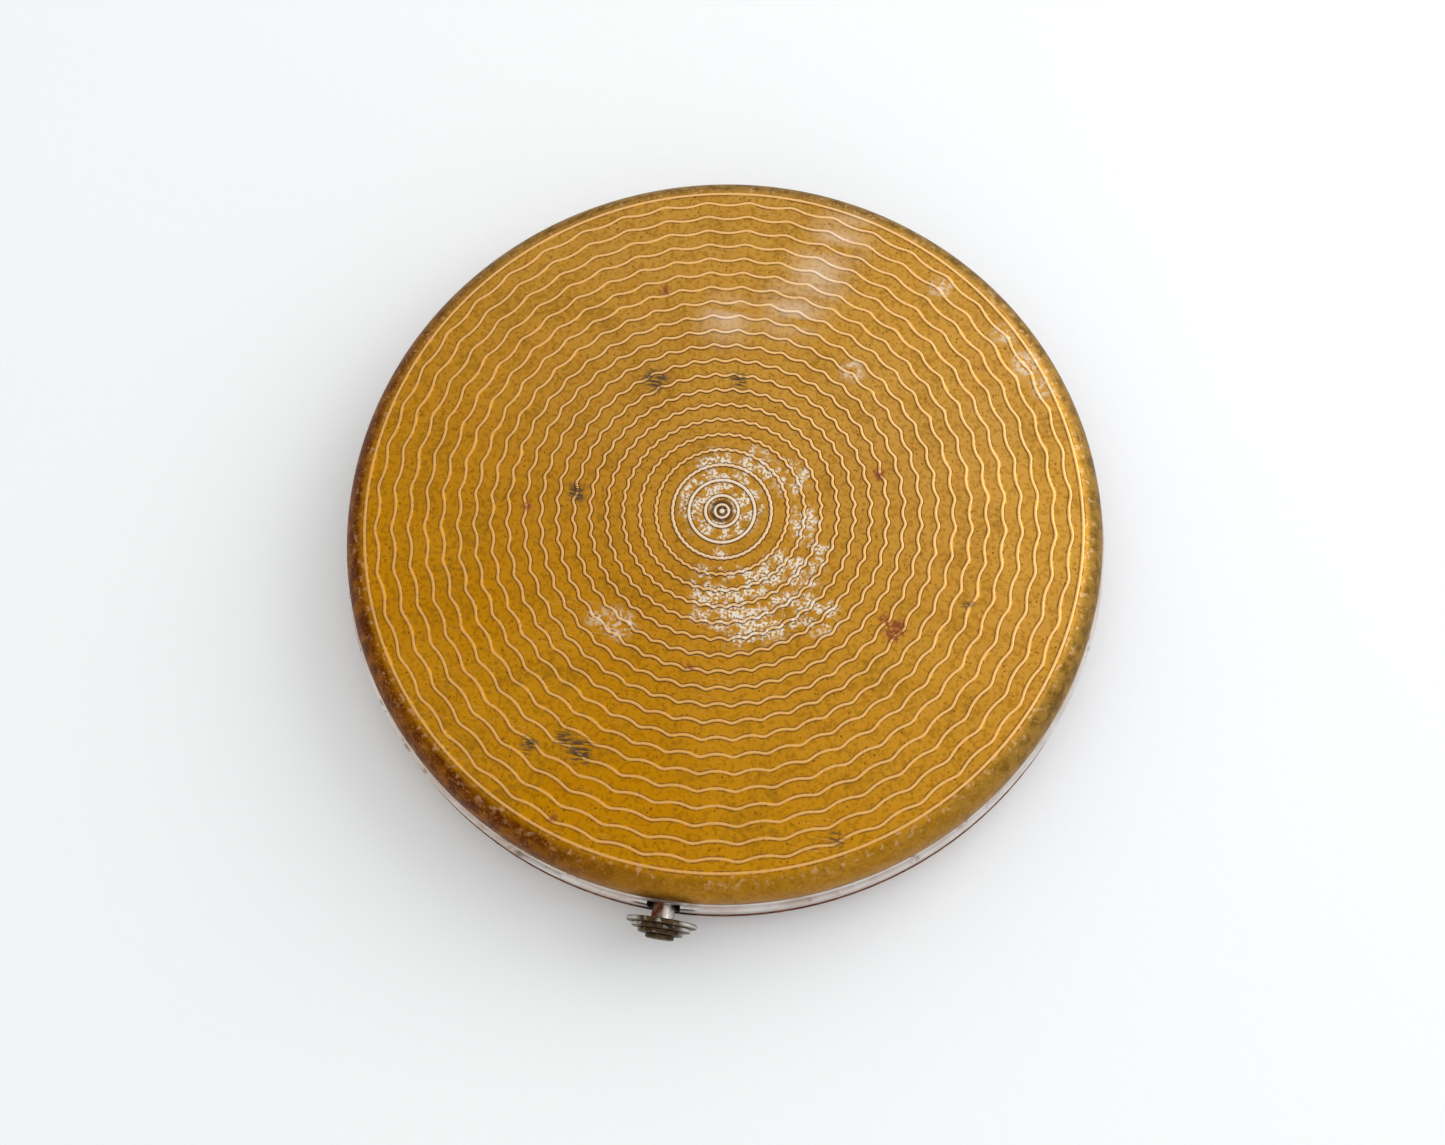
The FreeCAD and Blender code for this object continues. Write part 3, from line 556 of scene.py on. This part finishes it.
def makeSpring():
    low, high = boxMm("return_spring")
    wire = springPlan["wire"]
    mean = springPlan["tail"] + springPlan["ease"] + wire
    start = low.y + wire
    length = high.y - low.y - 2 * wire
    height = (low.z + high.z) / 2
    count = springPlan["turns"] * springPlan["stepsPerTurn"]
    points = []
    for step in range(count + 1):
        share = step / count
        bend = fullTurn * springPlan["turns"] * share
        flow = share + 0.035 * math.sin(fullTurn * share)  # end turns lie closer
        out = Vector((math.cos(bend), 0, math.sin(bend)))
        centre = out * mean + Vector((0, start + length * flow, height))
        for side in range(springPlan["sides"]):
            roll = fullTurn * side / springPlan["sides"]
            around = out * math.cos(roll) + Vector((0, 1, 0)) * math.sin(roll)
            points.append((centre + around * wire) * mm)
    sides = springPlan["sides"]
    faces = []
    for step in range(count):
        for side in range(sides):
            after = (side + 1) % sides
            ring = step * sides
            faces.append((ring + side, ring + after, ring + sides + after, ring + sides + side))
    faces.append(tuple(range(sides - 1, -1, -1)))
    faces.append(tuple(count * sides + side for side in range(sides)))
    return addObject("coilSpring", points, faces)


# powder, gauze, puff and ribbon
powderPlan = {"segments": 160, "rows": 40, "swirl": 0.05, "settle": 0.10}


def makePowder():
    low, high = boxMm("powder")
    rows = [(0, high.z)]
    for step in range(1, powderPlan["rows"] + 1):
        rows.append((high.x * 0.995 * step / powderPlan["rows"], high.z))
    rows += [(high.x, high.z - 0.12), (high.x, low.z), (0, low.z)]
    powder = turned("pressedPowder", rows, powderPlan["segments"])
    for point in powder.data.vertices:
        if point.co.z > (high.z - 0.05) * mm:
            place = point.co / mm
            lump = noise.fractal(Vector((place.x / 5, place.y / 5, 1)), 0.9, 2.1, 4)
            edge = max(0.0, place.xy.length / high.x - 0.92) / 0.08
            fall = powderPlan["settle"] * (0.6 - 0.4 * lump + 0.8 * edge * edge)
            point.co.z -= (fall + powderPlan["swirl"] * abs(math.sin(place.xy.length * 1.1))) * mm
    return powder


def powderFinish():
    paint = finish("facePowder")
    shade = paint.cloud(3.0, 4.0)
    colour = paint.mix(shade.ease(0.3, 0.7), tint(226, 184, 156), tint(238, 204, 180))
    colour = paint.mix(paint.pits(0.25).ease(0.1, 0.02) * 0.5, colour, tint(190, 140, 112))
    height = paint.cloud(0.16, 5.0) + 0.6 * shade
    return paint.surface(colour, 0.92, 0.0, height, 0.05)


gauzePlan = {"segments": 192, "rows": 26, "sag": 0.03, "thread": 0.32}


def makeGauze():
    low, high = boxMm("sifter_gauze")
    rows = [(0, high.z - gauzePlan["sag"])]
    for step in range(1, gauzePlan["rows"] + 1):
        share = step / gauzePlan["rows"]
        rows.append((high.x * share, high.z - gauzePlan["sag"] * (1 - share * share)))
    rows.append((high.x, low.z + 0.02))
    rows.append((0, low.z))
    return turned("sifterGauze", rows, gauzePlan["segments"])


def gauzeFinish():
    paint = finish("silkGauze")
    thread = gauzePlan["thread"]
    rows = []
    for turn in (0.0, 90.0):
        wave = paint.add("ShaderNodeMath", {"operation": "PINGPONG"}, {0: paint.along(turn), 1: thread / 2})
        rows.append(wave.ease(0.09, 0.03))
    weave = rows[0].larger(rows[1])
    colour = paint.mix(weave, tint(196, 160, 138), tint(240, 228, 214))
    height = weave + 0.3 * paint.cloud(0.2, 3.0)
    return paint.surface(colour, 0.8, 0.0, height, 0.06)


puffPlan = {
    "crown": 0.82,       # fall of the top at the seam, mm
    "belly": 0.35,       # rise of the underside at the seam
    "seamIn": 0.35,      # seam groove, mm
    "segments": 120,
    "voxel": 0.62,       # mm
    "scaleUp": 10.0,     # cloth is worked at this many times its size
    "frames": 20,
    "pressure": 4.0,
    "mostMove": 0.45,    # mm that a point may swell
    "stitchX": 22.4,     # where the ribbon's ends are sewn down
    "stitchDip": 0.55,
    "pile": 0.035,
}


def puffRows():
    low, high = boxMm("powder_puff")
    rim = high.x
    seam = (low.z + high.z) / 2 - 0.1
    rows = [(0, high.z)]
    for step in range(1, 31):
        share = step / 30
        rows.append((rim * 0.985 * share, high.z - puffPlan["crown"] * share ** 5))
    topEdge = rows[-1][1]
    for step in range(1, 6):
        bend = math.pi / 2 * step / 6
        rows.append((rim * 0.985 + rim * 0.015 * math.sin(bend),
                     seam + 0.12 + (topEdge - seam - 0.12) * math.cos(bend)))
    rows.append((rim - puffPlan["seamIn"], seam))
    lowEdge = low.z + puffPlan["belly"]
    for step in range(5, 0, -1):
        bend = math.pi / 2 * step / 6
        rows.append((rim * 0.985 + rim * 0.015 * math.sin(bend),
                     seam - 0.12 - (seam - 0.12 - lowEdge) * math.cos(bend)))
    for step in range(24, 0, -1):
        share = step / 24
        rows.append((rim * 0.985 * share, low.z + puffPlan["belly"] * share ** 6))
    rows.append((0, low.z))
    return rows, seam


def stitchDip(across, along):  # how far the ribbon's stitches pull the top down
    gap = math.hypot(abs(across) - puffPlan["stitchX"], max(0.0, abs(along) - 4.0) * 1.4)
    return puffPlan["stitchDip"] * math.exp(-(gap / 1.6) ** 2)


def swellPuff(puff, seam):
    # pressure fills the cover like a small cushion, worked at a larger size and put back
    scale = puffPlan["scaleUp"]
    low, high = boxMm("powder_puff")
    rest = [point.co.copy() for point in puff.data.vertices]
    puff.data.transform(Matrix.Scale(scale, 4))
    held = puff.vertex_groups.new(name="held")
    for point in puff.data.vertices:
        place = point.co / (mm * scale)
        sewn = stitchDip(place.x, place.y) > 0.3 and place.z > seam
        if abs(place.z - seam) < 0.22 and place.xy.length > high.x - 1.5 or sewn:
            held.add([point.index], 1.0, "REPLACE")
    cloth = puff.modifiers.new("filling", "CLOTH")
    cloth.settings.quality = 4
    cloth.settings.mass = 0.15
    cloth.settings.use_pressure = True
    cloth.settings.uniform_pressure_force = puffPlan["pressure"]
    cloth.settings.vertex_group_mass = "held"
    cloth.settings.effector_weights.gravity = 0.0
    cloth.point_cache.frame_start = 1
    cloth.point_cache.frame_end = puffPlan["frames"]
    for number in range(1, puffPlan["frames"] + 1):
        bpy.context.scene.frame_set(number)
    shown = puff.evaluated_get(bpy.context.evaluated_depsgraph_get())
    swollen = [point.co / scale for point in shown.data.vertices]
    puff.modifiers.remove(cloth)
    most = puffPlan["mostMove"] * mm
    for point, place, moved in zip(puff.data.vertices, rest, swollen):
        push = moved - place
        if push.length > most:
            push = push.normalized() * most
        point.co = place + push
        point.co.z = max(low.z * mm, min(high.z * mm, point.co.z))
        flat = point.co.xy.length
        if flat > high.x * mm:
            point.co.x *= high.x * mm / flat
            point.co.y *= high.x * mm / flat
    bpy.context.scene.frame_set(1)


def makePuff():
    rows, seam = puffRows()
    puff = turned("velourPuff", rows, puffPlan["segments"])
    puff.data.remesh_voxel_size = puffPlan["voxel"] * mm
    bpy.context.view_layer.objects.active = puff
    puff.select_set(True)
    bpy.ops.object.voxel_remesh()
    puff.select_set(False)
    for point in puff.data.vertices:
        if point.co.z > seam * mm:
            point.co.z -= stitchDip(point.co.x / mm, point.co.y / mm) * mm
    swellPuff(puff, seam)
    finer = puff.modifiers.new("finer", "SUBSURF")
    finer.levels = 1
    finer.render_levels = 1
    bpy.ops.object.modifier_apply(modifier="finer")
    low = boxMm("powder_puff")[0]
    places = np.empty(len(puff.data.vertices) * 3, np.float32)
    outward = np.empty_like(places)
    puff.data.vertices.foreach_get("co", places)
    puff.data.vertices.foreach_get("normal", outward)
    places = places.reshape(-1, 3) / mm
    pile = [noise.noise(place * 1.9) + 0.6 * noise.noise(place * 4.3) for place in map(Vector, places)]
    places += outward.reshape(-1, 3) * puffPlan["pile"] * np.array(pile)[:, None]
    places[:, 2] = np.maximum(places[:, 2], low.z + 0.01)
    puff.data.vertices.foreach_set("co", (places * mm).astype(np.float32).ravel())
    puff.data.polygons.foreach_set("use_smooth", [True] * len(puff.data.polygons))
    return puff


def puffFinish():
    paint = finish("puffVelour")
    nap = paint.cloud(1.6, 5.0)
    pile = paint.cloud(0.12, 5.0)
    colour = paint.mix(nap.ease(0.3, 0.7), tint(226, 186, 162), tint(240, 210, 190))
    colour = paint.mix(pile.ease(0.5, 0.3) * 0.35, colour, tint(196, 148, 122))
    used = paint.cloud(7.0, 3.0).ease(0.55, 0.75) * paint.radius().ease(26.0, 14.0)
    colour = paint.mix(used * 0.3, colour, tint(214, 164, 136))
    return paint.surface(colour, 0.95, 0.0, pile + 0.5 * nap, 0.09, **{"Sheen Weight": 0.45,
                                                                     "Sheen Roughness": 0.4})


ribbonPlan = {"steps": 120, "across": 28, "lift": 0.07, "thick": 0.1, "gather": 0.07, "tuck": 0.5}


def makeRibbon(puff):
    low, high = boxMm("puff_ribbon")
    tree = BVHTree.FromObject(puff, bpy.context.evaluated_depsgraph_get())
    halfWidth = high.y
    points = []
    for step in range(ribbonPlan["steps"] + 1):
        across = low.x + (high.x - low.x) * step / ribbonPlan["steps"]
        sewn = math.exp(-((abs(across) - puffPlan["stitchX"]) / 2.2) ** 2)
        for side in range(ribbonPlan["across"] + 1):
            share = 2 * side / ribbonPlan["across"] - 1
            along = share * halfWidth * (1 - 0.1 * sewn)
            hit = tree.ray_cast(Vector((across * mm, along * mm, 0.02)), Vector((0, 0, -1)))[0]
            ground = hit.z / mm if hit else low.z - ribbonPlan["tuck"]
            fold = math.sin(share * 17 + 1.3 * math.sin(across * 0.7)) * ribbonPlan["gather"]
            wave = 0.03 * math.sin(across * 0.42 + share * 2.0)
            height = ground + ribbonPlan["lift"] + abs(fold) * (0.25 + sewn) + max(0.0, wave)
            points.append((across * mm, along * mm, height * mm))
    wide = ribbonPlan["across"] + 1
    faces = []
    for step in range(ribbonPlan["steps"]):
        for side in range(ribbonPlan["across"]):
            first = step * wide + side
            faces.append((first, first + wide, first + wide + 1, first + 1))
    ribbon = addObject("satinRibbon", points, faces)
    thick = ribbon.modifiers.new("cloth", "SOLIDIFY")
    thick.thickness = ribbonPlan["thick"] * mm
    thick.offset = 1.0
    return ribbon


def ribbonFinish():
    paint = finish("roseSatin")
    drawn = paint.add("ShaderNodeMapping", None, {"Vector": paint.where, "Scale": (0.25, 5.0, 1.0)})
    weave = paint.cloud(1.0, 3.0, drawn)
    colour = paint.mix(weave.ease(0.3, 0.7), tint(196, 124, 108), tint(222, 156, 138))
    across = paint.along(90.0)
    hem = across.ease(4.6, 4.9) + across.ease(-4.6, -4.9)
    colour = paint.mix(hem * 0.5, colour, tint(178, 104, 92))
    threads = paint.add("ShaderNodeMath", {"operation": "PINGPONG"}, {0: across, 1: 0.06})
    return paint.surface(colour, 0.34 + 0.1 * weave, 0.0, threads * 6 + weave * 0.4, 0.015,
                         **{"Sheen Weight": 0.3})


# finishes for the metal that CAD shaped
def silverFinish():
    paint = finish("wornSilver")
    grain = paint.cloud(0.25, 4.0)
    patch = paint.cloud(4.5, 4.0)
    up = paint.height()
    stretch = paint.vector("MULTIPLY", paint.where, (0.35, 0.35, 9.0))
    lines = paint.cloud(1.0, 3.0, stretch)
    colour = paint.mix(patch.ease(0.35, 0.7), tint(214, 208, 202), tint(196, 180, 170))
    colour = paint.mix(lines.ease(0.55, 0.75) * 0.5, colour, tint(152, 128, 112))
    stain = paint.cloud(1.5, 5.0).ease(0.58, 0.7)
    colour = paint.mix(stain * 0.55, colour, tint(128, 88, 58))
    # painted dark reflection: the silver turns dark brown towards its lower edge, below 3.95 mm
    base = up.ease(3.95, 3.6) * 0.6
    colour = paint.mix(base, colour, tint(92, 56, 36))
    pocked = paint.pits(0.7).ease(0.12, 0.05) * paint.cloud(3.0, 2.0).ease(0.5, 0.65)
    colour = paint.mix(pocked * 0.7, colour, tint(62, 34, 20))
    rough = 0.22 + 0.16 * patch + 0.2 * stain
    return paint.surface(colour, rough, 1.0 - 0.3 * stain, grain * 0.4 + lines * 0.6, 0.012)


def brownGiltFinish():
    paint = finish("brownGilt")
    radius = paint.radius()
    grain = paint.cloud(0.3, 4.0)
    patch = paint.cloud(6.0, 5.0)
    turning = paint.add("ShaderNodeMath", {"operation": "PINGPONG"}, {0: radius, 1: 0.11})
    gilt = paint.mix(patch.ease(0.35, 0.65), tint(172, 120, 48), tint(138, 90, 34))
    up = paint.height()
    wall = up.ease(0.5, 2.4)
    # painted reflection: the pan's wall is painted dark maroon from 0.5 mm up for a dark surround mirrored
    # in it; the brown gilt shows only near the table
    maroonReflection = paint.mix(paint.cloud(1.2, 4.0).ease(0.4, 0.65), tint(70, 30, 18), tint(112, 64, 40))
    colour = paint.mix(wall * 0.9, gilt, maroonReflection)
    rubbed = radius.ease(31.2, 32.4) * up.ease(1.2, 0.1) * paint.cloud(1.4, 5.0).ease(0.42, 0.6)
    colour = paint.mix(rubbed * 0.6, colour, tint(206, 176, 132))
    scratch = paint.streaks(0.08, 7.0, 12).ease(0.64, 0.7) + paint.streaks(0.07, 5.0, 102).ease(0.66, 0.72)
    scratch = scratch * paint.cloud(8.0, 2.0).ease(0.42, 0.6)
    colour = paint.mix(scratch * 0.5, colour, tint(222, 180, 112))
    stain = paint.pits(1.6).ease(0.2, 0.06) * patch.ease(0.5, 0.65)
    colour = paint.mix(stain * 0.7, colour, tint(66, 40, 18))
    rough = 0.32 + 0.18 * patch + 0.2 * stain
    height = turning * 1.5 + grain * 0.5 - scratch * 0.5
    return paint.surface(colour, rough, 0.95 - 0.4 * stain, height, 0.012)


def brassFinish():
    paint = finish("innerBrass")
    patch = paint.cloud(5.0, 4.0)
    spun = paint.add("ShaderNodeMath", {"operation": "PINGPONG"}, {0: paint.radius(), 1: 0.07})
    colour = paint.mix(patch.ease(0.3, 0.7), tint(206, 166, 92), tint(184, 142, 68))
    dust = paint.cloud(0.4, 5.0).ease(0.46, 0.75) * paint.cloud(6.0, 4.0).ease(0.4, 0.7)
    colour = paint.mix(dust * 0.6, colour, tint(226, 196, 168))
    rough = 0.28 + 0.2 * patch + 0.3 * dust
    return paint.surface(colour, rough, 1.0 - 0.6 * dust, spun * 2 + paint.cloud(0.2, 3.0), 0.008)


def steelFinish(name, bright, dull, rustShare):
    paint = finish(name)
    patch = paint.cloud(1.2, 4.0)
    brushed = paint.cloud(1.0, 3.0, paint.vector("MULTIPLY", paint.where, (1.2, 9.0, 9.0)))
    colour = paint.mix(brushed.ease(0.3, 0.7), tint(*bright), tint(*dull))
    rust = paint.cloud(0.5, 5.0).ease(0.62 - rustShare, 0.74 - rustShare)
    colour = paint.mix(rust * 0.7, colour, tint(116, 66, 34))
    rough = 0.26 + 0.15 * patch + 0.35 * rust
    return paint.surface(colour, rough, 1.0 - 0.6 * rust, brushed + 0.6 * rust, 0.01)


def mirrorFinish():
    paint = finish("agedMirror")
    radius = paint.radius()
    speck = paint.pits(1.1).ease(0.14, 0.04) * paint.cloud(6.0, 3.0).ease(0.5, 0.66)
    edge = radius.ease(28.4, 30.2) * paint.cloud(1.8, 5.0).ease(0.46, 0.62)
    fox = speck.larger(edge * 0.85)
    colour = paint.mix(fox, tint(226, 230, 230), tint(96, 84, 70))
    smear = paint.cloud(9.0, 4.0)
    rough = 0.02 + 0.03 * smear.ease(0.5, 0.8) + 0.35 * fox
    scratch = paint.streaks(0.05, 9.0, 40).ease(0.68, 0.72)
    return paint.surface(colour, rough + 0.1 * scratch, 1.0 - 0.5 * fox, paint.cloud(6.0, 1.0), 0.001)


def cardFinish():
    paint = finish("backingCard")
    fibre = paint.cloud(0.5, 5.0, paint.vector("MULTIPLY", paint.where, (1.0, 3.0, 1.0)))
    colour = paint.mix(fibre.ease(0.3, 0.7), tint(150, 118, 84), tint(176, 146, 110))
    return paint.surface(colour, 0.9, 0.0, fibre, 0.03)


# table top, light and camera
roomPlan = {
    "floorSize": 4.0,
    "windowAt": (0.31, 0.22, 0.26),
    "windowSize": (0.42, 0.38),
    "windowPower": 1.02,
    "skySide": (0.75, 0.15, 0.55),
}


def makeFloor():
    half = roomPlan["floorSize"] / 2
    floor = addObject("tableTop", [(-half, -half, 0), (half, -half, 0), (half, half, 0), (-half, half, 0)],
                      [(0, 1, 2, 3)])
    paint = finish("paleTable")
    tooth = paint.cloud(1.4, 5.0)
    colour = paint.mix(paint.cloud(60.0, 2.0), tint(239, 240, 241), tint(234, 236, 238))
    dress(floor, paint.surface(colour, 0.7, 0.0, tooth, 0.03))


def makeLight():
    world = bpy.data.worlds.new("softRoom")
    bpy.context.scene.world = world
    paint = Paint(world, "Generated", 1.0)
    facing = paint.vector("DOT_PRODUCT", paint.where, Vector(roomPlan["skySide"]).normalized(), out="Value")
    colour = paint.mix(facing.ease(-0.9, 0.8), tint(206, 196, 178), tint(236, 239, 243))
    glow = paint.add("ShaderNodeBackground", None, {"Color": colour, "Strength": 1.14})
    paint.add("ShaderNodeOutputWorld", None, {"Surface": glow})
    lamp = bpy.data.lights.new("window", "AREA")
    lamp.shape = "RECTANGLE"
    lamp.size, lamp.size_y = roomPlan["windowSize"]
    lamp.energy = roomPlan["windowPower"]
    lamp.color = (1.0, 0.985, 0.96)
    window = bpy.data.objects.new("window", lamp)
    window.location = roomPlan["windowAt"]
    window.rotation_euler = (-Vector(roomPlan["windowAt"])).to_track_quat("-Z", "Y").to_euler()
    bpy.context.scene.collection.objects.link(window)
    bpy.context.scene.view_settings.view_transform = "Standard"
    bpy.context.scene.view_settings.look = "None"


cameraPlan = {
    "aim": (0.91, -5.69, 10.35),   # mm, a point on the lid's top plane
    "distance": 141.1,             # mm
    "azimuth": lookTurn,
    "elevation": 72.61,
    "roll": -5.05,
    "lens": 39.7,
    "sensor": 36.0,
}


def makeCamera():
    azimuth = math.radians(cameraPlan["azimuth"])
    elevation = math.radians(cameraPlan["elevation"])
    roll = math.radians(cameraPlan["roll"])
    back = Vector((math.sin(azimuth) * math.cos(elevation), -math.cos(azimuth) * math.cos(elevation),
                   math.sin(elevation)))
    right = Vector((math.cos(azimuth), math.sin(azimuth), 0))
    up = back.cross(right)
    across = right * math.cos(roll) + up * math.sin(roll)
    upward = up * math.cos(roll) - right * math.sin(roll)
    lens = bpy.data.cameras.new("camera")
    lens.lens = cameraPlan["lens"]
    lens.sensor_width = cameraPlan["sensor"]
    lens.clip_start = 0.005
    camera = bpy.data.objects.new("camera", lens)
    place = (Vector(cameraPlan["aim"]) + back * cameraPlan["distance"]) * mm
    turn = Matrix((across, upward, back)).transposed().to_4x4()
    camera.matrix_world = Matrix.Translation(place) @ turn
    bpy.context.scene.collection.objects.link(camera)
    bpy.context.scene.camera = camera


# put together
makeCamera()
makeLight()
makeFloor()
print("room, light and camera are ready")

def place(item, material, body, node, slot):
    dress(item, material)
    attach(item, body)
    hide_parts(node)
    return item


cover = place(makeLidCover(), giltFinish(), "lid", "lid_cover", "gilt")
print("lid cover:", len(cover.data.polygons), "faces")

place(makeButton(), buttonFinish(), "button", "push_button", "button_brass")
steel = steelFinish("springSteel", (172, 170, 166), (128, 122, 114), 0.0)
spring = place(makeSpring(), steel, "base", "return_spring", "spring_steel")
springLow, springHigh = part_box("return_spring")
travel = next(joint for joint in frame["joints"] if joint["name"] == "button_push")["range_m"][1]
1 - travel / (springHigh.y - springLow.y)
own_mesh(spring)
print("button and spring are turned and wound")

place(makePowder(), powderFinish(), "base", "powder", "powder")
gauze = place(makeGauze(), gauzeFinish(), "base", "sifter_gauze", "gauze")

puff = place(makePuff(), puffFinish(), "base", "powder_puff", "puff_velour")
print("puff:", len(puff.data.polygons), "faces")

ribbon = place(makeRibbon(puff), ribbonFinish(), "base", "puff_ribbon", "satin_ribbon")
print("powder, gauze, puff and ribbon are in")

nodeFinishes = {
    silverFinish(): ["lid_ring", "mirror_bezel", "base_collar", "sifter_ring"],
    brownGiltFinish(): ["base_pan"],
    brassFinish(): ["powder_well", "well_deck", "latch_washer"],
    steelFinish("hingeSteel", (188, 184, 176), (142, 134, 122), 0.03): ["lid_hinge_leaf",
                                                                       "base_hinge_leaf"],
    steelFinish("pinSteel", (150, 146, 140), (104, 98, 90), 0.05): ["hinge_pin"],
    steel: ["lid_catch", "button_guide", "latch_plate"],
    mirrorFinish(): ["mirror_glass"],
    cardFinish(): ["mirror_card"],
}
for material, names in nodeFinishes.items():
    for name in names:
        dress(frame["nodes"][name], material)
print("metal, glass and card are finished")
